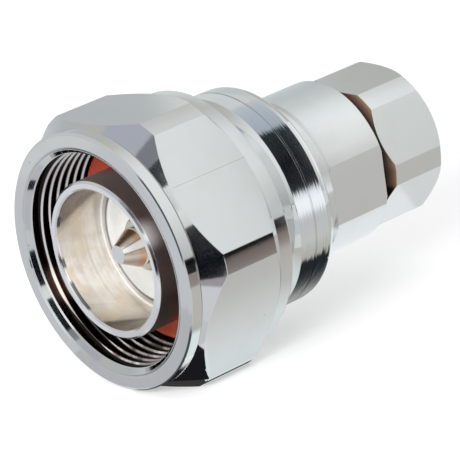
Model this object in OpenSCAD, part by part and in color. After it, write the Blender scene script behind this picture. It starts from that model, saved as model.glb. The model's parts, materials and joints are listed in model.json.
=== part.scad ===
// Straight coaxial plug of the 7-16 size with a clamp for braided cable.
// The connector's axis is +Y, from the mating end to the cable end. The origin is on the axis
// at the front face of the coupling nut. +Z is up, with a flat of the coupling nut facing down.

/* [Coupling nut] */
// Width across the flats
nut_flats = 34; // [33.8:0.1:36]
// Diameter of the turned corners
nut_corner_d = 37.8; // [37:0.1:39]
// Diameter of the plain front collar and of the rear ring
nut_collar_d = 33.5; // [33:0.1:33.7]
// Length from the front face to the rear face
nut_length = 16.9; // [16.5:0.1:18]
// Length of the front collar
nut_collar_length = 2.1; // [1.8:0.1:2.6]
// Length of the rear ring
nut_ring_length = 2.2; // [1.8:0.1:2.4]
// Nominal diameter of the mating thread
thread_d = 29; // [28.8:0.1:29.2]
// Diameter of the smooth entry in front of the thread
entry_d = 29.3; // [29.3:0.1:29.8]
// Depth of the smooth entry
entry_depth = 1.2; // [0.8:0.1:1.6]
// Depth of the gasket at the bottom of the thread
gasket_depth = 8.9; // [8.7:0.1:9.2]
// Thickness of the gasket
gasket_thickness = 2; // [1.8:0.1:2.2]

/* [Contacts] */
// Bore of the contact sleeve
sleeve_bore_d = 18.2; // [18:0.1:18.4]
// Wall of the contact sleeve
sleeve_wall = 1.2; // [1:0.1:1.4]
// How far the sleeve's rim lies behind the nut's front face
sleeve_recess = 0.7; // [0.4:0.1:1.2]
// Height of the sleeve's inner step, down to the bore of the coaxial line
step_height = 1.1; // [1:0.05:1.2]
// Depth of the inner step, where the mating contact stops
step_depth = 7.9; // [7.6:0.1:8.2]
// Diameter of the pin
pin_d = 5; // [4.8:0.1:5.2]
// Diameter of the pin's flat tip
pin_tip_d = 2.4; // [2:0.1:2.8]
// Depth of the pin's flat tip
pin_tip_depth = 3; // [2.6:0.1:3.6]
// Diameter of the pin's shoulder and of the inner line
inner_line_d = 7; // [6.8:0.1:7.2]
// Thickness of the bead that carries the pin
bead_thickness = 3.9; // [3.7:0.1:4.2]

/* [Body] */
// Step from the sleeve up to the neck that the coupling nut turns on
neck_step = 1.1; // [0.9:0.1:1.3]
// Diameter of the flange behind the coupling nut
flange_d = 28.8; // [28:0.1:29.6]
// Depth of the flange's rear edge
flange_end = 26.6; // [26.2:0.1:27.2]
// Diameter of the rear barrel
barrel_d = 21.7; // [21.3:0.1:22.2]
// Width across the barrel's wrench flats
barrel_flats = 20.2; // [19.8:0.1:20.8]
// Depth of the barrel's rear face
barrel_end = 39; // [38.6:0.1:39.4]
// Turn of the wrench flats from upright, in degrees
barrel_turn = 5.9; // [0:0.1:12]

/* [Cable clamp] */
// Width across the flats of the back nut
back_nut_flats = 19; // [18.6:0.1:19.6]
// Diameter of the back nut's turned corners
back_nut_corner_d = 20.5; // [20.3:0.1:21]
// Length of the back nut's hexagon
back_nut_length = 10.3; // [9.6:0.1:11]
// Gap between the barrel and the back nut's hexagon before a cable is clamped
clamp_gap = 0.6; // [0.6:0.05:0.8]
// Width of the ledge that the braid is pressed against, out to the clamp thread
clamp_ledge = 0.7; // [0.6:0.1:0.8]
// Bore that the cable enters by
cable_bore_d = 11; // [10.6:0.1:11.2]
// Bore that the cable's inner insulation passes through
cable_core_d = 7.5; // [7.3:0.1:7.6]
// Bore of the solder cup for the cable's inner wire
cable_wire_d = 2.4; // [2.2:0.1:2.6]
// Length of the rubber gasket round the cable
seal_length = 5; // [4.6:0.1:5.2]
// Turn of the back nut's flats from upright, in degrees
back_nut_turn = 11.3; // [0:0.1:30]

/* [Hidden] */
$fn = 96;
arc_steps = 6;

// Clearances between pieces
running_gap = 0.06;
free_gap = 0.3;
thread_gap = 0.3;
assembly_gap = 0.05;
seat_gap = 0.15;
// Small chamfer on turned edges
edge_break = 0.3;
// How far a cutting shape runs past the face that it opens
over = 1;

// Coupling nut
collar_r = nut_collar_d / 2;
corner_r = nut_corner_d / 2;
corner_rise = corner_r - collar_r;
nut_hex_end = nut_length - nut_ring_length;
thread_r = thread_d / 2;
lip_gap = 0.4;
gasket_margin = 1;

// Contact sleeve and front bead
sleeve_bore_r = sleeve_bore_d / 2;
sleeve_r = sleeve_bore_r + sleeve_wall;
line_r = sleeve_bore_r - step_height;
gasket_seat = 0.2;
spigot_step = 0.7;
bead_lip = 0.8;
step_thickness = 1.4;
spigot_r = sleeve_r - spigot_step;
bead_r = line_r + bead_lip;
bead_start = step_depth + step_thickness;
bead_end = bead_start + bead_thickness;

// Pin
pin_r = pin_d / 2;
tip_r = pin_tip_d / 2;
inner_line_r = inner_line_d / 2;
shoulder_rise = 1.2;
pin_straight = 1.2;
stop_rim = 0.7;
stop_length = 1.5;
tail_step = 0.3;
pin_shoulder = step_depth - shoulder_rise;
stop_r = inner_line_r + stop_rim;
stop_end = bead_end + stop_length;
tail_r = inner_line_r - tail_step;

// Retaining ring of the coupling nut
ring_thickness = 1;
ring_section = 1.7;
ring_grip = 0.9;
ring_opening = 3;
ring_offset = 0.8;
neck_r = sleeve_r + neck_step;
ring_start = bead_end + ring_offset;
ring_end = ring_start + ring_thickness;
ring_outer_r = neck_r + ring_grip;
ring_inner_r = ring_outer_r - ring_section;
ring_groove_r = neck_r - ring_section - assembly_gap;

// Body
neck_start = gasket_depth + gasket_thickness;
flange_r = flange_d / 2;
flange_offset = 1.7;
flange_front_chamfer = 1.8;
flange_rear_round = 1.6;
flange_line = 2.5;
flange_line_depth = 0.12;
flange_start = nut_length + flange_offset;
flange_line_at = flange_start + flange_front_chamfer + flange_line;
barrel_r = barrel_d / 2;
barrel_shoulder = 3.3;
barrel_groove = flange_end + barrel_shoulder;
rear_bore_step = 0.2;
rear_bore_r = line_r - rear_bore_step;

// Rear bead and braid clamp
rear_bead_length = 3.3;
rear_bead_wall = 1.5;
rear_bead_hollow = 1.8;
tail_margin = 0.2;
nose_length = 1.4;
nose_wall = 1.8;
clamp_thickness = 3;
ridge_height = 0.9;
rear_bead_end = stop_end + rear_bead_length;
tail_end = rear_bead_end - tail_margin;
core_r = cable_core_d / 2;
wire_r = cable_wire_d / 2;
clamp_nose = rear_bead_end + assembly_gap;
clamp_seat = clamp_nose + nose_length;
clamp_end = clamp_seat + clamp_thickness;
clamp_thread_r = rear_bore_r + clamp_ledge;
shank_r = clamp_thread_r - thread_gap;
cable_r = cable_bore_d / 2;
seal_bore_r = cable_r - free_gap;
ridge_r = (seal_bore_r + shank_r) / 2;

// Cable gasket, washer and back nut
washer_thickness = 1;
washer_bore_r = cable_r + free_gap;
back_nut_front_chamfer = 1.4;
back_nut_rear_chamfer = 1;
back_corner_r = back_nut_corner_d / 2;
seal_start = clamp_end + seat_gap;
seal_end = seal_start + seal_length;
washer_start = seal_end + clamp_gap + assembly_gap;
washer_end = washer_start + washer_thickness;
shank_start = washer_end + assembly_gap;
hex_start = barrel_end + clamp_gap;
hex_end = hex_start + back_nut_length;

// Points of a quarter round from one angle to another
function arc(centre, radius, from, to) = [for (i = [0 : arc_steps])
    let (a = from + (to - from) * i / arc_steps) centre + radius * [cos(a), sin(a)]];

// Sets a shape that was turned about Z along the connector's axis
module on_axis() rotate([-90, 0, 0]) children();

// A turned solid from points of [radius, depth]
module turned(points) on_axis() rotate_extrude() polygon(points);

// A turned ring of rectangular section
module turned_ring(inner_r, outer_r, start, end)
    turned([[inner_r, start], [outer_r, start], [outer_r, end], [inner_r, end]]);

// A hexagonal bar along the axis, with flats facing up and down
module hex_bar(flats, start, end) on_axis() translate([0, 0, start])
    cylinder(h = end - start, d = flats / cos(30), $fn = 6);

// The plated nut: a hexagon with turned corners between two plain rings
module coupling_nut() color("gainsboro") difference() {
    intersection() {
        hex_bar(nut_flats, 0, nut_length);
        turned([
            [0, 0],
            [collar_r - edge_break, 0],
            [collar_r, edge_break],
            [collar_r, nut_collar_length - edge_break],
            [collar_r - edge_break, nut_collar_length],
            [collar_r, nut_collar_length + edge_break],
            [corner_r, nut_collar_length + edge_break + corner_rise],
            [corner_r, nut_hex_end - corner_rise],
            [collar_r, nut_hex_end],
            [collar_r, nut_length - edge_break],
            [collar_r - edge_break, nut_length],
            [0, nut_length]
        ]);
    }
    turned([
        [0, -over],
        [entry_d / 2 + edge_break + over, -over],
        [entry_d / 2, edge_break],
        [entry_d / 2, entry_depth],
        [thread_r, entry_depth],
        [thread_r, neck_start + lip_gap],
        [neck_r + running_gap, neck_start + lip_gap],
        [neck_r + running_gap, nut_length + over],
        [0, nut_length + over]
    ]);
    turned_ring(neck_r, ring_outer_r + assembly_gap, ring_start - assembly_gap, ring_end + assembly_gap);
}

// Split spring ring, sprung out into the nut's groove
module nut_retaining_ring() color("silver") difference() {
    turned_ring(ring_inner_r, ring_outer_r, ring_start, ring_end);
    translate([-ring_opening / 2, ring_start - over, 0])
        cube([ring_opening, ring_thickness + 2 * over, ring_outer_r + over]);
}

// Red rubber ring that seals against the front of the mating socket
module mating_gasket() color("orangered") turned([
    [sleeve_r - gasket_seat, gasket_depth],
    [thread_r - gasket_margin - edge_break, gasket_depth],
    [thread_r - gasket_margin, gasket_depth + edge_break],
    [thread_r - gasket_margin, neck_start],
    [sleeve_r - gasket_seat, neck_start]
]);

// Contact sleeve with its inner step, pressed into the body by its spigot
module outer_contact() color("whitesmoke") turned([
    [sleeve_bore_r, sleeve_recess + edge_break],
    [sleeve_bore_r + edge_break, sleeve_recess],
    [sleeve_r - edge_break, sleeve_recess],
    [sleeve_r, sleeve_recess + edge_break],
    [sleeve_r, gasket_depth],
    [sleeve_r - gasket_seat, gasket_depth],
    [sleeve_r - gasket_seat, neck_start],
    [spigot_r, neck_start],
    [spigot_r, bead_end],
    [bead_r, bead_end],
    [bead_r, bead_start],
    [line_r, bead_start],
    [line_r, step_depth],
    [sleeve_bore_r, step_depth]
]);

// Bead that carries the pin, held between the sleeve's inner step and the body
module front_insulator() color("ivory") turned_ring(inner_line_r, bead_r, bead_start, bead_end);

// Pin with a tapered nose, a wide shoulder and a solder cup
module centre_contact() color("khaki") difference() {
    turned([
        [0, pin_tip_depth],
        [tip_r, pin_tip_depth],
        [pin_r, pin_shoulder - pin_straight],
        [pin_r, pin_shoulder],
        [inner_line_r - edge_break, pin_shoulder],
        [inner_line_r, pin_shoulder + edge_break],
        [inner_line_r, bead_end],
        [stop_r, bead_end],
        [stop_r, stop_end],
        [tail_r, stop_end],
        [tail_r, tail_end],
        [0, tail_end]
    ]);
    on_axis() translate([0, 0, stop_end]) cylinder(h = rear_bead_length + over, r = wire_r);
    translate([0, stop_end + rear_bead_wall + wire_r, 0]) cylinder(h = tail_r + over, r = wire_r / 2);
}

// Turned body: neck, flange and rear barrel with two wrench flats
module connector_body() color("lightgray") difference() {
    turned(concat(
        [
            [rear_bore_r, bead_end],
            [spigot_r, bead_end],
            [spigot_r, neck_start],
            [neck_r - edge_break, neck_start],
            [neck_r, neck_start + edge_break],
            [neck_r, ring_start - free_gap],
            [ring_groove_r, ring_start - free_gap],
            [ring_groove_r, ring_end + free_gap],
            [neck_r, ring_end + free_gap],
            [neck_r, flange_start],
            [flange_r - flange_front_chamfer, flange_start],
            [flange_r, flange_start + flange_front_chamfer],
            [flange_r, flange_line_at - flange_line_depth],
            [flange_r - flange_line_depth, flange_line_at],
            [flange_r, flange_line_at + flange_line_depth]
        ],
        arc([flange_r - flange_rear_round, flange_end - flange_rear_round], flange_rear_round, 0, 90),
        [
            [barrel_r, flange_end],
            [barrel_r, barrel_groove - edge_break],
            [barrel_r - edge_break, barrel_groove],
            [barrel_r, barrel_groove + edge_break],
            [barrel_r, barrel_end - edge_break],
            [barrel_r - edge_break, barrel_end],
            [clamp_thread_r, barrel_end],
            [clamp_thread_r, clamp_seat],
            [rear_bore_r, clamp_seat]
        ]
    ));
    rotate([0, barrel_turn, 0]) for (side = [-1, 1])
        translate([side * (barrel_flats + barrel_d) / 2, (barrel_groove + barrel_end + over) / 2, 0])
            cube([barrel_d, barrel_end - barrel_groove + over, barrel_d], center = true);
}

// Bead behind the pin's shoulder, hollowed behind for the soldered joint
module rear_insulator() color("ivory") turned([
    [tail_r + assembly_gap, stop_end],
    [rear_bore_r - assembly_gap, stop_end],
    [rear_bore_r - assembly_gap, rear_bead_end],
    [tail_r + rear_bead_hollow, rear_bead_end],
    [tail_r + rear_bead_hollow, stop_end + rear_bead_wall],
    [tail_r + assembly_gap, stop_end + rear_bead_wall]
]);

// Coned ring that presses the cable's braid against the body
module braid_clamp() color("silver") turned([
    [core_r, clamp_nose],
    [core_r + nose_wall, clamp_nose],
    [rear_bore_r - free_gap, clamp_seat],
    [shank_r, clamp_seat],
    [shank_r, clamp_end],
    [ridge_r + ridge_height, clamp_end],
    [ridge_r, clamp_end + ridge_height],
    [ridge_r - ridge_height, clamp_end],
    [core_r, clamp_end]
]);

// Rubber ring with a V groove, squeezed round the cable's jacket
module cable_gasket() color("dimgray") turned([
    [seal_bore_r, seal_start],
    [ridge_r - ridge_height, seal_start],
    [ridge_r, seal_start + ridge_height],
    [ridge_r + ridge_height, seal_start],
    [shank_r, seal_start],
    [shank_r, seal_end],
    [seal_bore_r, seal_end]
]);

// Slip washer that the back nut turns against
module thrust_washer() color("silver") turned_ring(washer_bore_r, shank_r, washer_start, washer_end);

// Clamp nut: a hexagon with turned corners and a threaded shank inside the barrel
module back_nut() color("gainsboro") difference() {
    union() {
        rotate([0, back_nut_turn, 0]) intersection() {
            hex_bar(back_nut_flats, hex_start, hex_end);
            turned([
                [0, hex_start],
                [back_corner_r - back_nut_front_chamfer, hex_start],
                [back_corner_r, hex_start + back_nut_front_chamfer],
                [back_corner_r, hex_end - back_nut_rear_chamfer],
                [back_corner_r - back_nut_rear_chamfer, hex_end],
                [0, hex_end]
            ]);
        }
        turned([
            [0, shank_start],
            [shank_r - edge_break, shank_start],
            [shank_r, shank_start + edge_break],
            [shank_r, hex_start + over],
            [0, hex_start + over]
        ]);
    }
    turned([
        [0, shank_start - over],
        [cable_r, shank_start - over],
        [cable_r, hex_end - edge_break],
        [cable_r + edge_break + over, hex_end + over],
        [0, hex_end + over]
    ]);
}

coupling_nut();
nut_retaining_ring();
mating_gasket();
outer_contact();
front_insulator();
centre_contact();
connector_body();
rear_insulator();
braid_clamp();
cable_gasket();
thrust_washer();
back_nut();
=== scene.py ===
import json
import math

import bpy
from mathutils import Matrix, Vector


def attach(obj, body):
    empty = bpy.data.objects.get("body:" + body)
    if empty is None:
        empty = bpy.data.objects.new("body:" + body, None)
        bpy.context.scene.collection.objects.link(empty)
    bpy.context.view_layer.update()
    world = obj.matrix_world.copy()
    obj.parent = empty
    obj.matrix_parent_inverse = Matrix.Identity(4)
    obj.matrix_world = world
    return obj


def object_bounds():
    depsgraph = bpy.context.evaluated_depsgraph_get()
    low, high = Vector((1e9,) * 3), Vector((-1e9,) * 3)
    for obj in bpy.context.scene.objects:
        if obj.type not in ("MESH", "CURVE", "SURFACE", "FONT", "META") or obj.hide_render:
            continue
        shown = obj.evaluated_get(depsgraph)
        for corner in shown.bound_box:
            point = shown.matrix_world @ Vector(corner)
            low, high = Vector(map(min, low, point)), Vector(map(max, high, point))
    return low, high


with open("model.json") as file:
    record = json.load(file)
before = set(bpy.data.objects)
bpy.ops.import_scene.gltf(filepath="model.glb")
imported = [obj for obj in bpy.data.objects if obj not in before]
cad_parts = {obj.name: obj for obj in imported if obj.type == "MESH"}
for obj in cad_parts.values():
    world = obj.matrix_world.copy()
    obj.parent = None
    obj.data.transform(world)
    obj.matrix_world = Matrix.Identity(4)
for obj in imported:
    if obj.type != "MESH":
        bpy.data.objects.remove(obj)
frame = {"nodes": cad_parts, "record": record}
cadLow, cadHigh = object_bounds()
mm = 0.001
micron = 0.000001
print("frame loaded:", ", ".join(sorted(frame["nodes"])))

# The two inputs and the output of a Mix node for each kind of data
mixSockets = {"RGBA": (6, 7, 2), "VECTOR": (4, 5, 1)}


class Wire:  # a socket that takes part in Python sums
    def __init__(self, board, socket):
        self.board = board
        self.socket = socket

    def maths(self, operation, first, second):
        return self.board.node("ShaderNodeMath", {"operation": operation}, {0: first, 1: second})

    def __add__(self, other):
        return self.maths("ADD", self, other)

    def __radd__(self, other):
        return self.maths("ADD", other, self)

    def __sub__(self, other):
        return self.maths("SUBTRACT", self, other)

    def __rsub__(self, other):
        return self.maths("SUBTRACT", other, self)

    def __mul__(self, other):
        return self.maths("MULTIPLY", self, other)

    def __rmul__(self, other):
        return self.maths("MULTIPLY", other, self)

    def __truediv__(self, other):
        return self.maths("DIVIDE", self, other)

    def __rtruediv__(self, other):
        return self.maths("DIVIDE", other, self)

    def __pow__(self, other):
        return self.maths("POWER", self, other)

    def __abs__(self):
        return self.maths("ABSOLUTE", self, 0)

    def out(self, name):  # another output of the same node
        return Wire(self.board, self.socket.node.outputs[name])


class Board:  # a node tree that sums and nodes are added to
    def __init__(self, tree):
        self.tree = tree

    def node(self, kind, settings=None, sockets=None, out=0):
        made = self.tree.nodes.new(kind)
        for name, value in (settings or {}).items():
            if name == "stops":
                while len(made.color_ramp.elements) < len(value):
                    made.color_ramp.elements.new(1)
                for stop, (place, colour) in zip(made.color_ramp.elements, value):
                    stop.position = place
                    stop.color = (*colour, 1)
            else:
                setattr(made, name, value)
        for key, value in (sockets or {}).items():
            if isinstance(value, Wire):
                self.tree.links.new(value.socket, made.inputs[key])
            else:
                made.inputs[key].default_value = value
        return Wire(self, made.outputs[out] if made.outputs else None)

    def larger(self, first, second):
        return self.node("ShaderNodeMath", {"operation": "MAXIMUM"}, {0: first, 1: second})

    def wrap(self, value, half):  # brought between -half and half
        return self.node("ShaderNodeMath", {"operation": "WRAP"}, {0: value, 1: half, 2: -half})

    def step(self, value, start, end):  # 0 before start, 1 after end, smooth between them
        settings = {"interpolation_type": "SMOOTHSTEP"}
        return self.node("ShaderNodeMapRange", settings, {"Value": value, 1: start, 2: end})

    def band(self, value, low, high, soft):  # 1 from low to high
        return self.step(value, low - soft, low + soft) * (1 - self.step(value, high - soft, high + soft))

    def mix(self, kind, under, over, mask):
        first, second, result = mixSockets[kind]
        sockets = {0: mask, first: under, second: over}
        return self.node("ShaderNodeMix", {"data_type": kind}, sockets, out=result)

    def paint(self, under, over, mask):
        return self.mix("RGBA", self.colour(under), self.colour(over), mask)

    def colour(self, value):
        return value if isinstance(value, Wire) else (*value, 1)

    def ramp(self, value, stops):  # colours at given values, blended between them
        first, last = stops[0][0], stops[-1][0]
        places = [((at - first) / (last - first), colour) for at, colour in stops]
        return self.node("ShaderNodeValToRGB", {"stops": places}, {0: (value - first) / (last - first)})

    def noise(self, vector, scale, detail=2.0, roughness=0.5):
        sockets = {"Vector": vector, "Scale": scale, "Detail": detail, "Roughness": roughness}
        return self.node("ShaderNodeTexNoise", {}, sockets)

    def lines(self, along, scale, detail=2.0):  # noise that changes along one value only
        settings = {"noise_dimensions": "1D"}
        return self.node("ShaderNodeTexNoise", settings, {"W": along, "Scale": scale, "Detail": detail})

    def bump(self, height, microns, strength, normal=None):
        sockets = {"Strength": strength, "Distance": microns * micron, "Height": height}
        if normal:
            sockets["Normal"] = normal
        return self.node("ShaderNodeBump", {}, sockets)


class Place:  # a point of a piece in millimetres, with its distance from the axis and angle round it
    def __init__(self, board, turn=0):
        self.board = board
        at = board.node("ShaderNodeTexCoord", out="Object")
        sockets = {"Vector": at, "Rotation": (0, math.radians(-turn), 0), "Scale": (1 / mm,) * 3}
        self.vector = board.node("ShaderNodeMapping", {}, sockets)
        self.x = board.node("ShaderNodeSeparateXYZ", {}, {0: self.vector})
        self.y = self.x.out("Y")
        self.z = self.x.out("Z")
        self.radius = (self.x * self.x + self.z * self.z) ** 0.5
        turned = board.node("ShaderNodeMath", {"operation": "ARCTAN2"}, {0: self.x, 1: self.z})
        self.angle = turned * math.degrees(1)  # from upright, -180 to 180

    def angleFrom(self, start):  # from another line than upright, -180 to 180
        return self.board.wrap(self.angle - start, 180)

    def between(self, depths, soft):  # 1 from one depth to another
        return self.board.band(self.y, *depths, soft)

    def around(self, angles, soft):  # 1 from one angle to another
        return self.board.band(self.angle, *angles, soft)

    def beyond(self, radii):  # 0 inside the first radius, 1 outside the second
        return self.board.step(self.radius, *radii)

    def facing(self, outward, along, swing=0):  # leans between outward and along the axis, swung round it
        spoke = outward / self.radius
        x, z = self.x + self.z * swing, self.z - self.x * swing
        lean = self.board.node("ShaderNodeCombineXYZ", {}, {"X": x * spoke, "Y": along, "Z": z * spoke})
        settings = {"vector_type": "NORMAL", "convert_from": "OBJECT", "convert_to": "WORLD"}
        return self.board.node("ShaderNodeVectorTransform", settings, {0: lean})


class Coat:  # colour, normal and metallic share of a finish while marks are added to it
    def __init__(self, place, tone, normal):
        self.board = place.board
        self.place = place
        self.tone = tone
        self.normal = normal
        self.metal = 1.0

    def paint(self, colour, mask):
        self.tone = self.board.paint(self.tone, colour, mask)

    def lean(self, direction, mask):
        self.normal = self.board.mix("VECTOR", self.normal, self.place.facing(*direction), mask)


def newMaterial(name):
    material = bpy.data.materials.new(name)
    material.use_nodes = True
    material.node_tree.nodes.clear()
    return material, Board(material.node_tree)


def finishMaterial(board, tone, rough, metal, normal):
    sockets = {"Base Color": tone, "Roughness": rough, "Metallic": metal, "Normal": normal}
    surface = board.node("ShaderNodeBsdfPrincipled", {}, sockets)
    board.node("ShaderNodeOutputMaterial", {}, {"Surface": surface})


# Camera: the photograph's view of the connector
cameraSpec = {
    "target": (9.62, 13.34, 0.44),
    "azimuth": 52.61,
    "elevation": 16.08,
    "roll": -12.35,
    "distance": 415.72,
    "lens": 266.1,
    "sensor": 36.0,
}


def makeCamera(spec):
    azimuth, elevation = math.radians(spec["azimuth"]), math.radians(spec["elevation"])
    level = math.cos(elevation)
    back = Vector((math.sin(azimuth) * level, -math.cos(azimuth) * level, math.sin(elevation)))
    data = bpy.data.cameras.new("camera")
    data.lens = spec["lens"]
    data.sensor_width = spec["sensor"]
    camera = bpy.data.objects.new("camera", data)
    bpy.context.collection.objects.link(camera)
    roll = Matrix.Rotation(math.radians(spec["roll"]), 3, "Z").to_quaternion()
    camera.rotation_mode = "QUATERNION"
    camera.rotation_quaternion = back.to_track_quat("Z", "Y") @ roll
    camera.location = (Vector(spec["target"]) + back * spec["distance"]) * mm
    bpy.context.scene.camera = camera


makeCamera(cameraSpec)
print("camera set")


# Studio: a pale floor, an even white surround and curved cards that only reflections see
studioSpec = {
    "surround": 0.84,
    "floorGlow": (0.77, 0.79, 0.80),
    "floorSize": 4000,
    "floorTone": (0.62, 0.62, 0.62),
    "floorCloud": (0.64, 0.64, 0.64),
    "cloudScale": 0.02,
    "floorLift": 0.42,
    "panelRadius": 100,
    "cardInset": 2,
    "cardSteps": 48,
    "laneScale": 1.5,
    "laneSlope": 0.6,
    "cardRise": 0.05,
    "cardGap": 0.1,
}

# Large panel round the connector, graded from side to side
panelCard = {
    "corners": ((-100, -240), (97, -240), (97, 260), (-100, 260)), "along": "angle",
    "stops": (
        (-100, (0.70, 0.72, 0.725)), (-80, (0.60, 0.62, 0.635)), (-64, (0.50, 0.53, 0.545)),
        (-45, (0.535, 0.535, 0.515)), (-30, (0.54, 0.54, 0.51)), (-16, (0.585, 0.585, 0.56)),
        (-2, (0.71, 0.73, 0.725)), (14, (0.845, 0.87, 0.875)), (28, (0.89, 0.92, 0.925)),
        (49, (0.875, 0.905, 0.905)), (60, (0.84, 0.87, 0.865)), (74, (0.735, 0.765, 0.76)),
        (89, (0.60, 0.62, 0.62)), (97, (0.55, 0.57, 0.565)),
    ),
}

# Cards in front of the panel: corners as (angle from upright, depth), and a tone or a grade.
# Ragged edges are given as the amount, and where it starts and is full
curvedCards = {
    "flangeGap": {
        "corners": ((-100, 79.5), (101, 79.5), (101, 91), (-100, 91)),
        "along": "angle", "ragged": (11, -100, -99),
        "stops": (
            (-100, (0.60, 0.63, 0.61)), (-66, (0.72, 0.75, 0.745)), (-46, (0.71, 0.74, 0.745)),
            (-22, (0.72, 0.74, 0.745)), (-18, (0.57, 0.62, 0.66)), (0, (0.49, 0.55, 0.62)),
            (20, (0.42, 0.48, 0.55)), (22, (0.02, 0.03, 0.035)), (57, (0.004, 0.006, 0.008)),
            (76, (0.012, 0.016, 0.019)), (84, (0.03, 0.04, 0.045)), (88, (0.85, 0.90, 0.96)),
            (94, (1.08, 1.12, 1.18)), (101, (1.08, 1.12, 1.18)),
        ),
    },
    "rearPanel": {
        "corners": ((-100, 91.2), (97, 91.2), (97, 112), (-100, 112)), "along": "angle",
        "stops": (
            (-100, (0.70, 0.74, 0.75)), (-67, (0.60, 0.65, 0.67)), (-45, (0.60, 0.64, 0.65)),
            (-20, (0.70, 0.75, 0.75)), (0, (0.90, 0.95, 0.95)), (18, (1.03, 1.06, 1.08)),
            (32, (1.04, 1.08, 1.07)), (60, (0.93, 0.95, 0.94)), (80, (0.72, 0.735, 0.725)),
            (97, (0.60, 0.62, 0.61)),
        ),
    },
    "skirt": {
        "corners": ((95, -60), (101, -60), (101, 79.4), (95, 79.4)), "tone": (0.004, 0.004, 0.005),
    },
    "greyFront": {
        "corners": ((-32, -28), (-2, -56), (-2, -94), (-32, -80)), "tone": (0.46, 0.48, 0.55),
    },
    "dimFront": {
        "corners": ((-2, -56), (11.8, -74), (11.8, -125), (-2, -94)), "tone": (0.22, 0.23, 0.26),
    },
    "darkFront": {
        "corners": ((12, -74), (32, -95), (32, -104), (12, -94)), "tone": (0.03, 0.035, 0.04),
    },
    "blackFront": {
        "corners": ((12, -94.2), (56, -116), (56, -150), (12, -125)), "tone": (0.008, 0.012, 0.015),
    },
    "blackSide": {
        "corners": ((73.5, -108), (101, -97), (101, -150), (73.5, -150)), "tone": (0.004, 0.005, 0.007),
    },
}

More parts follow.
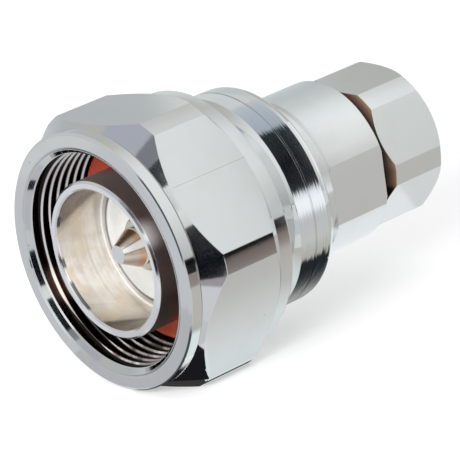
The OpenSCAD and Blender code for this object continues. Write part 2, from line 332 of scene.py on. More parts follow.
# Cards on the floor: corners in x and y, and a tone or a grade. Later ones lie above earlier ones
floorCards = {
    # Painted contact shade under the connector, seen only in reflections
    "contactShade": {
        "corners": ((0, 0.4), (12, 0.4), (12, 17.5), (0, 17.5)), "tone": (0.05, 0.045, 0.042),
    },
    "lilacFloor": {
        "corners": ((44, -1), (-220, -0.3), (-220, -220), (44, -220)), "tone": (0.63, 0.65, 0.68),
    },
    "greyNear": {
        "corners": ((-18, -0.8), (12, -0.8), (6, -24), (-24, -24)), "tone": (0.535, 0.545, 0.575),
    },
    "paleNear": {
        "corners": ((19, -2), (33, -15), (33, -25), (19, -16)), "tone": (0.70, 0.71, 0.735),
    },
    "lilacNear": {
        "corners": ((33, -16), (43, -22), (43, -34), (33, -24)), "tone": (0.38, 0.36, 0.39),
    },
    "blackFloor": {
        "corners": ((20, -35.5), (40, -24.5), (82, -67), (92, -92), (150, -136), (60, -150)),
        "tone": (0.004, 0.006, 0.009),
    },
    "mouthSpot": {
        "corners": ((-12.4, -8.4), (-9.2, -10.4), (-9.2, -12.8), (-12.4, -11.2)),
        "tone": (0.004, 0.004, 0.006),
    },
    "nutFloor": {
        "corners": ((2, 5), (9.8, 5), (9.8, 1.5), (110, 56.3), (110, 89), (34, 34.6), (2, 18.8)),
        "along": "x", "ragged": (6, 30, 60),
        "stops": (
            (2, (0.72, 0.78, 0.80)), (8, (0.72, 0.78, 0.80)), (12, (0.80, 0.85, 0.86)),
            (15, (0.73, 0.755, 0.75)), (20, (0.57, 0.565, 0.54)), (28, (0.55, 0.535, 0.505)),
            (36, (0.52, 0.485, 0.455)), (43, (0.36, 0.32, 0.295)), (52, (0.25, 0.21, 0.195)),
            (70, (0.17, 0.145, 0.135)), (77, (0.09, 0.075, 0.07)), (82, (0.008, 0.008, 0.008)),
            (110, (0.004, 0.004, 0.004)),
        ),
    },
    # Its near-black stretch from 10.5 to 16.2 is painted shade under the barrel, seen only in reflections
    "flangeFloor": {
        "corners": ((-6, 14.2), (2, 19), (34, 34.8), (110, 89.2), (110, 104), (-6, 26.5)),
        "along": "x", "ragged": (5, -6, 0),
        "stops": (
            (-6, (0.42, 0.415, 0.41)), (5, (0.38, 0.38, 0.375)), (8, (0.15, 0.155, 0.155)),
            (10.5, (0.05, 0.055, 0.06)), (13, (0.02, 0.025, 0.03)), (16.2, (0.02, 0.025, 0.03)),
            (17.2, (0.50, 0.50, 0.47)), (25, (0.65, 0.655, 0.635)), (42, (0.60, 0.625, 0.66)),
            (50, (0.68, 0.71, 0.75)), (60, (0.92, 0.96, 1.01)), (72, (1.06, 1.10, 1.15)),
            (110, (1.06, 1.10, 1.15)),
        ),
    },
    "beigeFloor": {
        "corners": ((12.2, 34.4), (17, 37.6), (46, 52), (46, 92), (12.2, 88)),
        "tone": (0.58, 0.575, 0.555),
    },
    "underBarrel": {
        "corners": ((-16, 34), (12.2, 34), (12.2, 49), (-16, 62)), "tone": (0.92, 0.96, 0.98),
    },
    # Painted shade under the nut, seen only in reflections
    "underNutShade": {
        "corners": ((1, 4.6), (8.4, 4.6), (9.6, 15), (1, 15)), "tone": (0.05, 0.04, 0.038),
    },
    # Painted shade under the collar's lower edge, seen only in reflections
    "underEdgeShade": {
        "corners": ((2.5, 2.0), (13.5, -3.0), (13.0, 3.2), (10.9, 4.7), (3.0, 4.7)),
        "tone": (0.012, 0.012, 0.014),
    },
    "collarLane": {
        "corners": (
            (10.9, 3.3), (13.9, 4.5), (19.8, 7.2), (31.2, 13.4), (49.8, 24.8), (72.1, 39), (138, 82),
            (138, 91), (72.1, 43.5), (49.8, 27.8), (31.2, 15.6), (19.8, 9.1), (13.9, 6.3), (10.9, 5.0),
        ), "along": "x",
        "stops": (
            (10.9, (0.82, 0.93, 0.94)), (16.4, (0.85, 0.95, 0.955)), (17.6, (0.52, 0.52, 0.475)),
            (20, (0.565, 0.55, 0.52)), (38, (0.565, 0.545, 0.515)), (40, (0.33, 0.275, 0.25)),
            (61, (0.28, 0.23, 0.21)), (64, (0.012, 0.012, 0.012)), (138, (0.008, 0.008, 0.008)),
        ),
    },
}


def glow(board, colour, strength=1.0):
    return board.node("ShaderNodeEmission", {}, {"Color": board.colour(colour), "Strength": strength})


def cardMaterial(name, card, spec):
    material, board = newMaterial(name)
    if "stops" in card:  # graded along one direction, in lanes that start and end unevenly
        place = Place(board)
        curved = card["along"] == "angle"
        lane = place.y if curved else place.y - spec["laneSlope"] * place.x
        across = place.angle if curved else place.x
        if "ragged" in card:
            amount, start, full = card["ragged"]
            uneven = board.lines(lane, spec["laneScale"]) - 0.5
            across = across + amount * board.step(across, start, full) * uneven
        tone = board.ramp(across, card["stops"])
    else:
        tone = card["tone"]
    board.node("ShaderNodeOutputMaterial", {}, {"Surface": glow(board, tone)})
    material.cycles.emission_sampling = "NONE"
    return material


def stagePiece(name, points, faces, material, onlyReflected):
    mesh = bpy.data.meshes.new(name)
    mesh.from_pydata([Vector(p) * mm for p in points], [], faces)
    mesh.materials.append(material)
    piece = bpy.data.objects.new(name, mesh)
    bpy.context.collection.objects.link(piece)
    if onlyReflected:
        piece.visible_camera = False
        piece.visible_diffuse = False
        piece.visible_shadow = False


def curvedCard(name, card, radius, spec):
    a, b, c, d = [Vector(corner) for corner in card["corners"]]
    steps = spec["cardSteps"]
    points = []
    for i in range(steps + 1):
        for start, end in ((a, b), (d, c)):
            angle, depth = start.lerp(end, i / steps)
            turn = math.radians(angle)
            points.append((radius * math.sin(turn), depth, radius * math.cos(turn)))
    faces = [(2 * i, 2 * i + 1, 2 * i + 3, 2 * i + 2) for i in range(steps)]
    stagePiece(name, points, faces, cardMaterial(name, card, spec), True)


def makeFloor(spec, floorZ):  # matt and pale to the eye, an even glow in reflections
    half = spec["floorSize"] / 2
    material, board = newMaterial("paleFloor")
    cloud = board.noise(Place(board).vector, spec["cloudScale"])
    tone = board.paint(spec["floorTone"], spec["floorCloud"], cloud)
    matt = board.node("ShaderNodeBsdfDiffuse", {}, {"Color": tone})
    lift = glow(board, (1, 1, 1), spec["floorLift"])
    lifted = board.node("ShaderNodeAddShader", {}, {0: matt, 1: lift})
    mirrored = board.node("ShaderNodeLightPath", out="Is Glossy Ray")
    shaders = {0: mirrored, 1: lifted, 2: glow(board, spec["floorGlow"])}
    surface = board.node("ShaderNodeMixShader", {}, shaders)
    board.node("ShaderNodeOutputMaterial", {}, {"Surface": surface})
    material.cycles.emission_sampling = "NONE"
    corners = [(x, y, floorZ) for x, y in ((-half, -half), (half, -half), (half, half), (-half, half))]
    stagePiece("floor", corners, [(0, 1, 2, 3)], material, False)


def makeCards(spec, floorZ):
    curvedCard("panel", panelCard, spec["panelRadius"], spec)
    for name, card in curvedCards.items():
        curvedCard(name, card, spec["panelRadius"] - spec["cardInset"], spec)
    for level, (name, card) in enumerate(floorCards.items()):
        rise = spec["cardRise"] + spec["cardGap"] * level
        points = [(x, y, floorZ + rise) for x, y in card["corners"]]
        stagePiece(name, points, [range(len(points))], cardMaterial(name, card, spec), True)


def makeSurround(spec):  # white where it is seen or mirrored, a little dimmer as light
    world = bpy.data.worlds.new("surround")
    bpy.context.scene.world = world
    world.use_nodes = True
    world.node_tree.nodes.clear()
    board = Board(world.node_tree)
    path = board.node("ShaderNodeLightPath", out="Is Camera Ray")
    seen = board.larger(board.larger(path, path.out("Is Glossy Ray")), path.out("Is Transmission Ray"))
    strength = spec["surround"] + (1 - spec["surround"]) * seen
    white = board.node("ShaderNodeBackground", {}, {"Color": (1, 1, 1, 1), "Strength": strength})
    board.node("ShaderNodeOutputWorld", {}, {"Surface": white})


# Lamp: a soft square in front, above the mating end
lampSpec = {"place": (190, -330, 200), "aim": (0, 5, 0), "size": 220, "power": 1.6}


def makeLamp(spec):
    data = bpy.data.lights.new("lamp", "AREA")
    data.size = spec["size"] * mm
    data.energy = spec["power"]
    lamp = bpy.data.objects.new("lamp", data)
    bpy.context.collection.objects.link(lamp)
    place = Vector(spec["place"])
    lamp.location = place * mm
    lamp.rotation_euler = (place - Vector(spec["aim"])).to_track_quat("Z", "Y").to_euler()
    lamp.visible_camera = False
    lamp.visible_glossy = False


makeFloor(studioSpec, cadLow.z / mm)
makeCards(studioSpec, cadLow.z / mm)
makeSurround(studioSpec)
makeLamp(lampSpec)
print("studio set")


# Plated metal: milled flats, and turned rings with fine lines round the axis. Line heights are in microns
platingSpecs = {
    "nut_plating": {
        "tone": (0.79, 0.80, 0.80), "stain": (0.75, 0.75, 0.73), "gloss": 0.06, "satin": 0.15,
        "flats": 34, "turn": 0, "edge": 0.12, "lineHeight": 1.0,
    },
    "body_plating": {
        "tone": (0.79, 0.80, 0.80), "stain": (0.75, 0.75, 0.73), "gloss": 0.04, "satin": 0.15,
        "flats": None, "turn": 0, "edge": 0.12, "lineHeight": 0.5,
    },
    "back_nut_plating": {
        "tone": (0.78, 0.79, 0.785), "stain": (0.74, 0.73, 0.71), "gloss": 0.12, "satin": 0.16,
        "flats": 19, "turn": 11.3, "edge": 0.1, "lineHeight": 3.0,
    },
}

# What all plated pieces share. Noises are given as scale, detail and roughness
platingMarks = {
    "turning": (9, 3), "cloud": (0.25, 3), "grain": (2.5, 4, 0.6), "grainShare": 0.1, "dulling": 0.04,
    "stainEdges": (0.45, 0.75), "stainShare": 0.4, "flatEdges": (0.06, 0.02), "barrelStart": (26.4, 26.8),
    "bevelSamples": 6, "bumpStrength": 0.5,
}


def hexagonMask(place, flats):  # 1 on the six flats of a hexagon with flats up and down
    reach = abs(place.z)
    for side in (60, 120):  # the other two pairs of flats
        turn = math.radians(side)
        reach = place.board.larger(reach, abs(place.x * math.sin(turn) + place.z * math.cos(turn)))
    edges = [flats / 2 - inset for inset in platingMarks["flatEdges"]]
    return place.board.step(reach, *edges)


# Small dark pits
pitSpec = {"scale": 0.42, "chosen": (0.8, 0.81), "edges": (0.03, 0.05), "tone": (0.30, 0.29, 0.28)}


def addPits(coat, spec):
    board = coat.board
    cells = board.node("ShaderNodeTexVoronoi", {}, {"Vector": coat.place.vector, "Scale": spec["scale"]})
    lot = board.node("ShaderNodeSeparateXYZ", {}, {0: cells.out("Color")})
    coat.paint(spec["tone"], (1 - board.step(cells, *spec["edges"])) * board.step(lot, *spec["chosen"]))


# One scratch along a flat of the coupling nut
scratchSpec = {
    "turn": 60, "across": (-1.52, -1.45), "soft": 0.02, "wander": 0.06, "waves": (0.6, 2),
    "depths": (3.1, 14.6), "endSoft": 0.3, "side": (10, 11), "tone": (0.52, 0.52, 0.51), "share": 0.7,
}


def addScratch(coat, spec):
    board, place = coat.board, coat.place
    turn = math.radians(spec["turn"])
    across = place.x * math.cos(turn) - place.z * math.sin(turn)
    wander = spec["wander"] * board.lines(place.y, *spec["waves"])
    mark = board.band(across + wander, *spec["across"], spec["soft"])
    mark = mark * place.between(spec["depths"], spec["endSoft"]) * board.step(place.x, *spec["side"])
    coat.paint(spec["tone"], mark * spec["share"])


# Fine groove behind the collar of the coupling nut, painted darker as painted shade in the groove
collarGroove = {"depths": (1.86, 2.14), "soft": 0.03, "radii": (16.3, 16.35), "tone": (0.40, 0.37, 0.35)}

# Broken front edge of the collar: lies with the face, with fine painted dark reflection lines over parts
# of its round
collarEdge = {
    "depths": (0.28, 0.32), "radii": (16.42, 16.46), "lean": (0.15, -0.99), "line": (0.12, 0.26),
    "angles": (44, 84), "lowLine": (0.12, 0.38), "lowAngles": (115, 176), "soft": 0.02, "endSoft": 3,
    "tone": (0.10, 0.11, 0.12),
}

# Underside of the collar: a painted highlight patch that fades out, and a painted highlight line on the
# rear edge
collarUnderHighlight = {
    "radii": (16.3, 16.35), "tone": (0.96, 0.97, 0.97), "matt": 0.85, "patchDepths": (0.4, 1.9),
    "patchSoft": 0.05, "patchStart": (131.5, 133.5), "patchEnd": (136, 142), "lineDepths": (1.5, 1.95),
    "lineSoft": 0.02, "lineAngles": (138, 166), "lineEndSoft": 4,
}


def addCollar(coat, groove, edge, under):
    board, place = coat.board, coat.place
    # painted shade in the collar's groove
    cut = place.between(groove["depths"], groove["soft"]) * place.beyond(groove["radii"])
    coat.paint(groove["tone"], cut)
    rim = place.beyond(edge["radii"])
    front = (1 - board.step(place.y, *edge["depths"])) * rim
    coat.lean(edge["lean"], front)
    soft, endSoft = edge["soft"], edge["endSoft"]
    # painted dark reflection lines on the collar's edge and lower rim
    line = front * place.between(edge["line"], soft) * place.around(edge["angles"], endSoft)
    low = place.between(edge["lowLine"], soft) * place.around(edge["lowAngles"], endSoft) * rim
    coat.paint(edge["tone"], board.larger(line, low))
    # painted highlight under the collar, made less metallic so it shows
    patch = board.step(place.angle, *under["patchStart"])
    patch = patch * (1 - board.step(place.angle, *under["patchEnd"]))
    patch = patch * place.between(under["patchDepths"], under["patchSoft"])
    back = place.between(under["lineDepths"], under["lineSoft"])
    back = back * place.around(under["lineAngles"], under["lineEndSoft"])
    pale = place.beyond(under["radii"]) * board.larger(patch, back)
    coat.paint(under["tone"], pale)
    coat.metal = coat.metal - under["matt"] * pale


# Light on the mating thread: bright front flanks graded by angle, dark between them, a warm glare at the
# left and bright patches low down. Flank and crest are shares of the pitch from the ridge's middle
flankSpec = {
    "radii": (14.56, 14.59), "depths": (1.25, 9.6), "depthSoft": 0.1,
    "pitch": 1.27, "start": 1.80, "startAngle": 90,
    "flank": (-0.19, -0.06), "flankSoft": 0.03, "shadow": (0.02, 0.017, 0.015),
    "crest": (-0.09, -0.02), "crestSoft": 0.02, "lean": (-0.538, -0.843),
    "lip": (0.66, 0.98), "lipRadii": (14.06, 14.10),
    "narrowest": -142, "narrowing": (6, 24), "narrowed": 0.1,
    "glareAngles": (-119, -102), "glareSoft": 5, "glareWidening": (0.06, 0.03), "glareMatt": 0.5,
    "glare": (0.93, 0.84, 0.76), "glareShade": (0.10, 0.056, 0.041),
    "lowest": -166, "lower": (-20, 16), "lowerSoft": 6, "patches": (0.45, 3), "matt": 0.65,
    "gapEdges": (0.30, 0.52), "gapShare": 0.8, "gleamEdges": (0.50, 0.66), "gleam": (0.95, 0.89, 0.83),
    "grade": (
        (-180, (0.42, 0.36, 0.33)), (-140, (0.40, 0.36, 0.33)), (-112, (0.97, 0.92, 0.87)),
        (-75, (0.97, 0.95, 0.93)), (-30, (0.74, 0.69, 0.66)), (40, (0.55, 0.50, 0.47)),
        (150, (0.40, 0.36, 0.33)), (180, (0.42, 0.36, 0.33)),
    ),
}


def addThreadLight(coat, spec):
    board, place = coat.board, coat.place
    threaded = (1 - place.beyond(spec["radii"])) * place.between(spec["depths"], spec["depthSoft"])
    turns = (place.y - spec["start"]) / spec["pitch"] - (place.angle - spec["startAngle"]) / 360
    share = board.wrap(turns, 0.5)
    narrow = 1 - board.step(abs(place.angleFrom(spec["narrowest"])), *spec["narrowing"])
    glare = place.around(spec["glareAngles"], spec["glareSoft"]) * threaded
    low, high = spec["flank"]
    ahead, behind = spec["glareWidening"]
    low = low + spec["narrowed"] * narrow - ahead * glare
    flank = board.band(share, low, high + behind * glare, spec["flankSoft"])
    lower = board.band(place.angleFrom(spec["lowest"]), *spec["lower"], spec["lowerSoft"]) * threaded
    patchy = board.noise(place.vector, *spec["patches"])
    flank = flank * (1 - spec["gapShare"] * lower * (1 - board.step(patchy, *spec["gapEdges"])))
    gleam = lower * board.step(patchy, *spec["gleamEdges"])
    bright = board.paint(board.ramp(place.angle, spec["grade"]), spec["gleam"], gleam)
    bright = board.paint(bright, spec["glare"], glare)
    shadow = board.paint(spec["shadow"], spec["glareShade"], glare)
    coat.paint(board.paint(shadow, bright, flank), threaded)
    coat.metal = coat.metal - spec["matt"] * lower * flank - spec["glareMatt"] * glare
    lip = place.between(spec["lip"], spec["crestSoft"]) * (1 - place.beyond(spec["lipRadii"]))
    crest = board.band(share, *spec["crest"], spec["crestSoft"]) * threaded
    coat.lean(spec["lean"], board.larger(crest, lip))


# Fine line round the flange
lineGroove = {"depths": (22.75, 23.05), "soft": 0.03, "lean": (1, 0), "tone": (0.64, 0.64, 0.63)}

# Outside of the flange, with turning lines that swing its reflections
flangeBand = {
    "depths": (20.4, 25.0), "soft": 0.05, "radii": (14.2, 14.3), "lean": (1, 0), "streaks": (5, 3),
    "swing": 0.16, "shade": (0.70, 0.70, 0.69), "shadeEdges": (0.5, 0.75), "shadeShare": 0.5,
}

# Foot of the barrel, where its groove fades out underneath
barrelFoot = {"depths": (29.5, 30.3), "soft": 0.03, "angles": (98, 106), "lean": (1, -0.12)}


def addFlange(coat, groove, foot, band):
    board, place = coat.board, coat.place
    line = place.between(groove["depths"], groove["soft"])
    coat.paint(groove["tone"], line)
    coat.lean(groove["lean"], line)
    under = board.step(place.angle, *foot["angles"])
    coat.lean(foot["lean"], place.between(foot["depths"], foot["soft"]) * under)
    rim = place.between(band["depths"], band["soft"]) * place.beyond(band["radii"]) * (1 - line)
    streak = board.lines(place.y, *band["streaks"])
    coat.lean((*band["lean"], band["swing"] * (streak - 0.5)), rim)
    coat.paint(band["shade"], board.step(streak, *band["shadeEdges"]) * rim * band["shadeShare"])


# Painted shade on the front chamfer of the back nut, from the gap behind the barrel: near black inside,
# brown at the outer edge
chamferSpec = {
    "depths": (38.95, 41.6), "soft": 0.05, "radii": (10.15, 10.22),
    "grade": (
        (8.6, (0.012, 0.009, 0.008)), (9.4, (0.055, 0.036, 0.027)), (9.85, (0.19, 0.115, 0.078)),
        (10.2, (0.40, 0.245, 0.15)),
    ),
}


def paintChamferShade(coat, spec, onFlat):
    cone = (1 - onFlat) * coat.place.between(spec["depths"], spec["soft"])
    cone = cone * (1 - coat.place.beyond(spec["radii"]))
    # painted shade, darker towards the gap
    coat.paint(coat.board.ramp(coat.place.radius, spec["grade"]), cone)


def platedMetal(name, spec, marks):
    material, board = newMaterial(name)
    place = Place(board, spec["turn"])
    turning = board.lines(place.y + place.radius, *marks["turning"])
    cloud = board.noise(place.vector, *marks["cloud"])
    stained = board.step(cloud, *marks["stainEdges"]) * marks["stainShare"]
    settings = {"samples": marks["bevelSamples"]}
    rounded = board.node("ShaderNodeBevel", settings, {"Radius": spec["edge"] * mm})
    coat = Coat(place, board.paint(spec["tone"], spec["stain"], stained), rounded)
    if spec["flats"]:  # milled flats are satin, and turned faces carry the fine lines
        satin = hexagonMask(place, spec["flats"])
        grain = board.noise(place.vector, *marks["grain"])
        height = turning * (1 - satin) + grain * satin * marks["grainShare"]
    else:  # the barrel behind the flange is satin
        satin = board.step(place.y, *marks["barrelStart"])
        height = satin * turning
        addFlange(coat, lineGroove, barrelFoot, flangeBand)
    addPits(coat, pitSpec)
    if name == "nut_plating":
        addScratch(coat, scratchSpec)
        addCollar(coat, collarGroove, collarEdge, collarUnderHighlight)
        addThreadLight(coat, flankSpec)
    if name == "back_nut_plating":
        paintChamferShade(coat, chamferSpec, satin)
    rough = spec["gloss"] + (spec["satin"] - spec["gloss"]) * satin + marks["dulling"] * cloud
    bump = board.bump(height, spec["lineHeight"], marks["bumpStrength"], coat.normal)
    finishMaterial(board, coat.tone, rough, coat.metal, bump)
    return material


# Silver of the sleeve: bright rim and step with a painted shade line at the step's inner edge, satin bore
# graded by angle from its brightest line in painted light and shade, painted dark reflection arcs on the
# bore's mouth, dark outside with painted shade low down and one painted glint
sleeveSpec = {
    "rim": (0.98, 0.985, 0.99), "rimRough": 0.12, "dulling": 0.06, "cloud": (0.5, 3),
    "turning": (7, 3), "lineHeight": 1.5, "bumpStrength": 0.5,
    "stepDepths": (7.8, 7.86), "stepEnd": (7.98, 8.02), "stepRadii": (8.25, 8.35),
    "stepShade": (0.45, 0.45, 0.46), "ringRadii": (8.78, 8.84), "stepMatt": 0.5,
    "outerRadii": (10.24, 10.28), "outsideRough": 0.3, "outside": (0.74, 0.61, 0.57),
    "outsideShade": (0.42, 0.34, 0.32), "lowAngles": (98, 118),
    "glint": (0.98, 0.96, 0.97), "glintAngles": (58, 74), "glintSoft": 6, "glintDepths": (0.6, 4.2),
    "glintMatt": 0.5,
    "mouthRadii": (9.22, 9.3), "mouthDepths": (0.84, 1.28), "mouthSoft": 0.05,
    "mouthArcs": ((-67, -57), (-102, -94), (-141, -114)), "arcSoft": 2, "arcShare": 0.85,
    "mouthReflectionTone": (0.05, 0.06, 0.075),
    "boreRadii": (9.13, 9.22), "boreRough": 0.22, "matt": 0.75, "mattAngles": (12, 52),
    "rings": (1.5, 4), "cloudShare": 0.55, "ringShare": 0.45,
    "shade": (0.64, 0.565, 0.48), "shadeEdges": (0.42, 0.66), "shadeShare": 0.55,
    "stain": (0.33, 4, 0.6), "amber": (0.78, 0.63, 0.45), "amberEdges": (0.46, 0.62), "amberShare": 0.46,
    "deepAngles": ((-97, -60), (47, 112)), "deepSoft": 3, "deepClear": 0.85,
    "brightest": -107, "narrowing": 0.08, "middle": 3.2,
    "grade": (
        (-180, (0.92, 0.88, 0.82)), (-125, (0.80, 0.74, 0.67)), (-95, (0.13, 0.11, 0.095)),
        (-63, (0.14, 0.12, 0.10)), (-58, (0.52, 0.46, 0.39)), (-39, (0.86, 0.81, 0.74)),
        (-16, (0.97, 0.93, 0.87)), (-5, (1.0, 0.985, 0.96)), (5, (0.98, 0.95, 0.90)),
        (27, (0.84, 0.79, 0.73)), (37, (0.74, 0.67, 0.58)), (51, (0.24, 0.20, 0.17)),
        (95, (0.12, 0.10, 0.088)), (125, (0.80, 0.74, 0.67)), (180, (0.92, 0.88, 0.82)),
    ),
}


def boreTone(place, aside, cloud, spec):  # a grade of light, stained outside its dark bands
    board = place.board
    stained = 1.0
    for angles in spec["deepAngles"]:
        stained = stained - spec["deepClear"] * board.band(aside, *angles, spec["deepSoft"])
    rings = board.lines(place.y, *spec["rings"])
    shade = board.step(cloud * spec["cloudShare"] + rings * spec["ringShare"], *spec["shadeEdges"])
    tone = board.ramp(aside, spec["grade"])
    tone = board.paint(tone, spec["shade"], shade * spec["shadeShare"] * stained)
    amber = board.step(board.noise(place.vector, *spec["stain"]), *spec["amberEdges"])
    return board.paint(tone, spec["amber"], amber * spec["amberShare"] * stained)


def sleeveSilver(name, spec):
    material, board = newMaterial(name)
    place = Place(board)
    cloud = board.noise(place.vector, *spec["cloud"])
    narrower = 1 - spec["narrowing"] * (place.y - spec["middle"])
    aside = Place(board, spec["brightest"]).angle * narrower  # from the brightest line
    onStep = board.step(place.y, *spec["stepDepths"])
    satin = (1 - place.beyond(spec["boreRadii"])) * (1 - onStep)
    # painted shade line on the step's inner edge
    inner = onStep * (1 - place.beyond(spec["stepRadii"])) * (1 - board.step(place.y, *spec["stepEnd"]))
    bright = board.paint(spec["rim"], spec["stepShade"], inner)
    # the bore gets painted light and shade graded by angle
    tone = board.paint(bright, boreTone(place, aside, cloud, spec), satin)
    outside = place.beyond(spec["outerRadii"])
    # painted shade on the outside low down
    outer = board.paint(spec["outside"], spec["outsideShade"], board.step(place.angle, *spec["lowAngles"]))
    tone = board.paint(tone, outer, outside)
    mouth = 1 - place.beyond(spec["mouthRadii"])
    mouth = mouth * place.between(spec["mouthDepths"], spec["mouthSoft"])
    # painted dark reflections in arcs on the bore's mouth
    for angles in spec["mouthArcs"]:
        arc = spec["arcShare"] * mouth * place.around(angles, spec["arcSoft"])
        tone = board.paint(tone, spec["mouthReflectionTone"], arc)
    # painted glint on the outside near the rim
    glint = outside * place.around(spec["glintAngles"], spec["glintSoft"])
    glint = glint * (1 - board.step(place.y, *spec["glintDepths"]))
    tone = board.paint(tone, spec["glint"], glint)
    rough = spec["rimRough"] + (spec["boreRough"] - spec["rimRough"]) * satin + spec["dulling"] * cloud
    rough = rough + (spec["outsideRough"] - spec["rimRough"]) * outside
    lit = satin * (1 - board.step(abs(aside), *spec["mattAngles"]))
    ring = onStep * place.beyond(spec["ringRadii"]) * (1 - outside)
    metal = 1 - spec["matt"] * lit - spec["glintMatt"] * glint - spec["stepMatt"] * ring
    turning = board.lines(place.y + place.radius, *spec["turning"])
    bump = board.bump(turning, spec["lineHeight"], spec["bumpStrength"])
    finishMaterial(board, tone, rough, metal, bump)
    return material


# Silver of the centre pin: pale flat tip, one painted highlight streak with painted dark reflection
# borders down the cone, brown patches, a painted paler underside and an orange foot
pinSpec = {
    "tip": (0.88, 0.89, 0.91), "tipDepths": (3.02, 3.08), "tipRough": 0.25,
    "cone": (0.95, 0.86, 0.76), "coneEnd": (5.5, 5.6), "coneRough": 0.16, "dulling": 0.05,
    "brown": (0.88, 0.66, 0.46), "brownEdges": (0.55, 0.8),
    "cloud": (0.8, 3), "turning": (8, 3), "lineHeight": 1.5, "bumpStrength": 0.5,
    "streak": (1.0, 0.99, 0.98), "streakAngles": (56, 80), "streakSoft": 3, "streakMatt": 0.22,
    "border": (0.42, 0.42, 0.43), "borderAngles": (50, 86), "borderSoft": 2, "borderShare": 0.7,
    "under": (0.86, 0.75, 0.66), "underAngles": (98, 178), "underSoft": 8, "underMatt": 0.38,
    "orange": (0.95, 0.52, 0.26), "footDepths": (4.75, 5.6), "footSoft": 0.25, "footShare": 0.6,
    "pale": (0.74, 0.72, 0.69), "paleDepths": (5.6, 6.0),
}


def pinSilver(name, spec):
    material, board = newMaterial(name)
    place = Place(board)
    onTip = 1 - board.step(place.y, *spec["tipDepths"])
    onCone = (1 - board.step(place.y, *spec["coneEnd"])) * (1 - onTip)
    cloud = board.noise(place.vector, *spec["cloud"])
    # painted highlight streak down the cone
    streak = place.around(spec["streakAngles"], spec["streakSoft"])
    # painted dark reflection borders beside the streak
    border = place.around(spec["borderAngles"], spec["borderSoft"]) * (1 - streak)
    # painted lighter underside of the cone
    under = place.around(spec["underAngles"], spec["underSoft"]) * onCone
    tone = board.paint(spec["cone"], spec["brown"], board.step(cloud, *spec["brownEdges"]))
    tone = board.paint(tone, spec["under"], under)
    foot = spec["footShare"] * place.between(spec["footDepths"], spec["footSoft"])
    tone = board.paint(tone, spec["orange"], foot)
    tone = board.paint(tone, spec["border"], spec["borderShare"] * border)
    tone = board.paint(tone, spec["streak"], streak)
    tone = board.paint(tone, spec["pale"], board.step(place.y, *spec["paleDepths"]))
    tone = board.paint(tone, spec["tip"], onTip)
    rough = spec["coneRough"] + (spec["tipRough"] - spec["coneRough"]) * onTip + spec["dulling"] * cloud
    metal = 1 - board.larger(spec["streakMatt"] * streak * onCone, spec["underMatt"] * under)
    turning = board.lines(place.y + place.radius, *spec["turning"])
    bump = board.bump(turning, spec["lineHeight"], spec["bumpStrength"])
    finishMaterial(board, tone, rough, metal, bump)
    return material


# Soft and hidden pieces: two tones, roughness, how metallic, and the mottle's scale and detail
plainSpecs = {
    "spring_steel": {
        "tone": (0.56, 0.56, 0.56), "shade": (0.45, 0.45, 0.46),
        "rough": 0.3, "metal": 1.0, "mottle": (1.0, 4),
    },
    "plain_brass": {
        "tone": (0.74, 0.66, 0.48), "shade": (0.62, 0.52, 0.34),
        "rough": 0.28, "metal": 1.0, "mottle": (0.8, 4),
    },
    "white_bead": {
        "tone": (0.80, 0.795, 0.765), "shade": (0.74, 0.735, 0.70),
        "rough": 0.42, "metal": 0.0, "mottle": (0.6, 4),
    },
    "red_rubber": {
        "tone": (0.96, 0.18, 0.10), "shade": (0.86, 0.14, 0.08),
        "upperShade": (0.60, 0.092, 0.05), "upperAngles": (50, 100),
        "rough": 0.5, "metal": 0.0, "mottle": (1.2, 4),
    },
    "dark_rubber": {
        "tone": (0.035, 0.035, 0.037), "shade": (0.02, 0.02, 0.02),
        "rough": 0.6, "metal": 0.0, "mottle": (1.5, 4),
    },
}

# What the soft and hidden pieces share
plainMarks = {
    "grain": (6, 3), "grainHeight": 4, "bumpStrength": 0.4, "shadeEdges": (0.4, 0.7), "dulling": 0.1,
}


def plainPiece(name, spec, marks):
    material, board = newMaterial(name)
    place = Place(board)
    mottle = board.noise(place.vector, *spec["mottle"])
    tone = board.paint(spec["tone"], spec["shade"], board.step(mottle, *marks["shadeEdges"]))
    if "upperShade" in spec:  # the upper half is painted darker, as painted shade
        tone = board.paint(tone, spec["upperShade"], 1 - board.step(abs(place.angle), *spec["upperAngles"]))
    grain = board.noise(place.vector, *marks["grain"])
    bump = board.bump(grain, marks["grainHeight"], marks["bumpStrength"])
    rough = spec["rough"] + marks["dulling"] * (mottle - 0.5)
    finishMaterial(board, tone, rough, spec["metal"], bump)
    return material


finishes = {name: platedMetal(name, spec, platingMarks) for name, spec in platingSpecs.items()}
finishes["sleeve_silver"] = sleeveSilver("sleeve_silver", sleeveSpec)
finishes["pin_silver"] = pinSilver("pin_silver", pinSpec)
finishes.update({name: plainPiece(name, spec, plainMarks) for name, spec in plainSpecs.items()})
for subpart in frame["record"]["subparts"]:
    node = frame["nodes"][subpart["node"]]
    node.data.materials.clear()
    node.data.materials.append(finishes[subpart["material_slot"]])
print("finishes:", ", ".join(finishes))


# Thread ridges: a trapezoid swept along a spiral, in millimetres and degrees
nutThread = {
    "Radius": 14.5, "Pitch": 1.27, "Turns": 6.0, "Depth": 0.69, "Root": 1.08, "Crest": 0.2,
    "Start": 1.80, "Facing": 90,
}
shankThread = {
    "Radius": 8.2, "Pitch": 1.0, "Turns": 9.6, "Depth": 0.2, "Root": 0.8, "Crest": 0.3,
    "Start": 29.7, "Facing": -90,
}

# Steps for each turn, and the share of the length over which the ends run out
ridgeSpec = {"steps": 96, "runOut": 0.04}
sharpAngle = 25  # steeper edges than this stay sharp


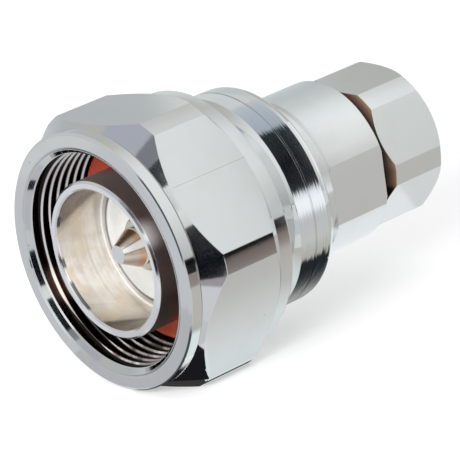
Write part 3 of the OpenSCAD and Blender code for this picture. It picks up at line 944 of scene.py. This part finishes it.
def threadTree(spec):
    tree = bpy.data.node_groups.new("threadRidge", "GeometryNodeTree")
    tree.interface.new_socket("Geometry", in_out="OUTPUT", socket_type="NodeSocketGeometry")
    for name in nutThread:
        tree.interface.new_socket(name, in_out="INPUT", socket_type="NodeSocketFloat")
    tree.interface.new_socket("Finish", in_out="INPUT", socket_type="NodeSocketMaterial")
    board = Board(tree)
    radius = board.node("NodeGroupInput", out="Radius")
    turns, depth = radius.out("Turns"), radius.out("Depth")
    spiral = board.node("GeometryNodeCurveSpiral", {}, {
        "Resolution": spec["steps"], "Reverse": True, "Rotations": turns,
        "Start Radius": radius, "End Radius": radius, "Height": radius.out("Pitch") * turns,
    })
    at = board.node("GeometryNodeInputPosition")
    outward = board.node("ShaderNodeVectorMath", {"operation": "MULTIPLY"}, {0: at, 1: (1, 1, 0)})
    sockets = {"Curve": spiral, "Normal": outward}
    path = board.node("GeometryNodeSetCurveNormal", {"mode": "FREE"}, sockets)
    share = board.node("GeometryNodeSplineParameter", out="Factor")
    fade = board.step(share, 0.0, spec["runOut"]) * (1 - board.step(share, 1 - spec["runOut"], 1.0))
    ridge = board.node("GeometryNodeCurvePrimitiveQuadrilateral", {"mode": "TRAPEZOID"}, {
        "Bottom Width": radius.out("Root"), "Top Width": radius.out("Crest"),
        "Offset": 0.0, "Height": depth,
    })
    half = board.node("ShaderNodeCombineXYZ", {}, {"Y": depth * 0.5})
    ridge = board.node("GeometryNodeTransform", {}, {"Geometry": ridge, "Translation": half})
    facing = board.node("ShaderNodeCombineXYZ", {}, {"Z": radius.out("Facing") * math.radians(1)})
    ridge = board.node("GeometryNodeTransform", {}, {"Geometry": ridge, "Rotation": facing})
    solid = board.node("GeometryNodeCurveToMesh", {}, {
        "Curve": path, "Profile Curve": ridge, "Scale": fade, "Fill Caps": True,
    })
    start = board.node("ShaderNodeCombineXYZ", {}, {"Y": radius.out("Start")})
    solid = board.node("GeometryNodeTransform", {}, {
        "Geometry": solid, "Translation": start, "Rotation": (math.radians(-90), 0, 0),
    })
    solid = board.node("GeometryNodeTransform", {}, {"Geometry": solid, "Scale": (mm, mm, mm)})
    solid = board.node("GeometryNodeRealizeInstances", {}, {"Geometry": solid})
    sockets = {"Geometry": solid, "Material": radius.out("Finish")}
    solid = board.node("GeometryNodeSetMaterial", {}, sockets)
    board.node("NodeGroupOutput", {}, {"Geometry": solid})
    return tree


def addPiece(name, mesh, body):
    mesh.polygons.foreach_set("use_smooth", [True] * len(mesh.polygons))
    mesh.set_sharp_from_angle(angle=math.radians(sharpAngle))
    piece = bpy.data.objects.new(name, mesh)
    bpy.context.collection.objects.link(piece)
    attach(piece, body)


def makeThread(name, tree, sizes, slot, body):
    carrier = bpy.data.objects.new(name + "Carrier", bpy.data.meshes.new(name + "Carrier"))
    bpy.context.collection.objects.link(carrier)
    modifier = carrier.modifiers.new("thread", "NODES")
    modifier.node_group = tree
    inputs = [item for item in tree.interface.items_tree if item.in_out == "INPUT"]
    sockets = {item.name: item.identifier for item in inputs}
    for key, value in sizes.items():
        modifier[sockets[key]] = value
    modifier[sockets["Finish"]] = finishes[slot]
    ready = carrier.evaluated_get(bpy.context.evaluated_depsgraph_get())
    mesh = bpy.data.meshes.new_from_object(ready)
    bpy.data.objects.remove(carrier)
    addPiece(name, mesh, body)


# Lead-in: the cone at the mouth of the mating thread, points as (radius, depth)
leadIn = {"profile": ((14.64, 0.02), (14.64, 1.30), (14.02, 0.92), (14.02, 0.72)), "steps": 180}


def makeLeadIn(name, spec, slot, body):
    points, faces = [], []
    count, steps = len(spec["profile"]), spec["steps"]
    for i in range(steps):
        turn = 2 * math.pi * i / steps
        for radius, depth in spec["profile"]:
            points.append(Vector((radius * math.sin(turn), depth, radius * math.cos(turn))) * mm)
        for j in range(count):
            k, after = (j + 1) % count, (i + 1) % steps
            faces.append((i * count + j, i * count + k, after * count + k, after * count + j))
    mesh = bpy.data.meshes.new(name)
    mesh.from_pydata(points, [], faces)
    mesh.materials.append(finishes[slot])
    addPiece(name, mesh, body)


makeLeadIn("threadMouth", leadIn, "nut_plating", "coupling")
ridgeTree = threadTree(ridgeSpec)
makeThread("matingThread", ridgeTree, nutThread, "nut_plating", "coupling")
makeThread("clampThread", ridgeTree, shankThread, "back_nut_plating", "clamp_nut")
print("threads made")

bpy.context.scene.view_settings.view_transform = "Standard"
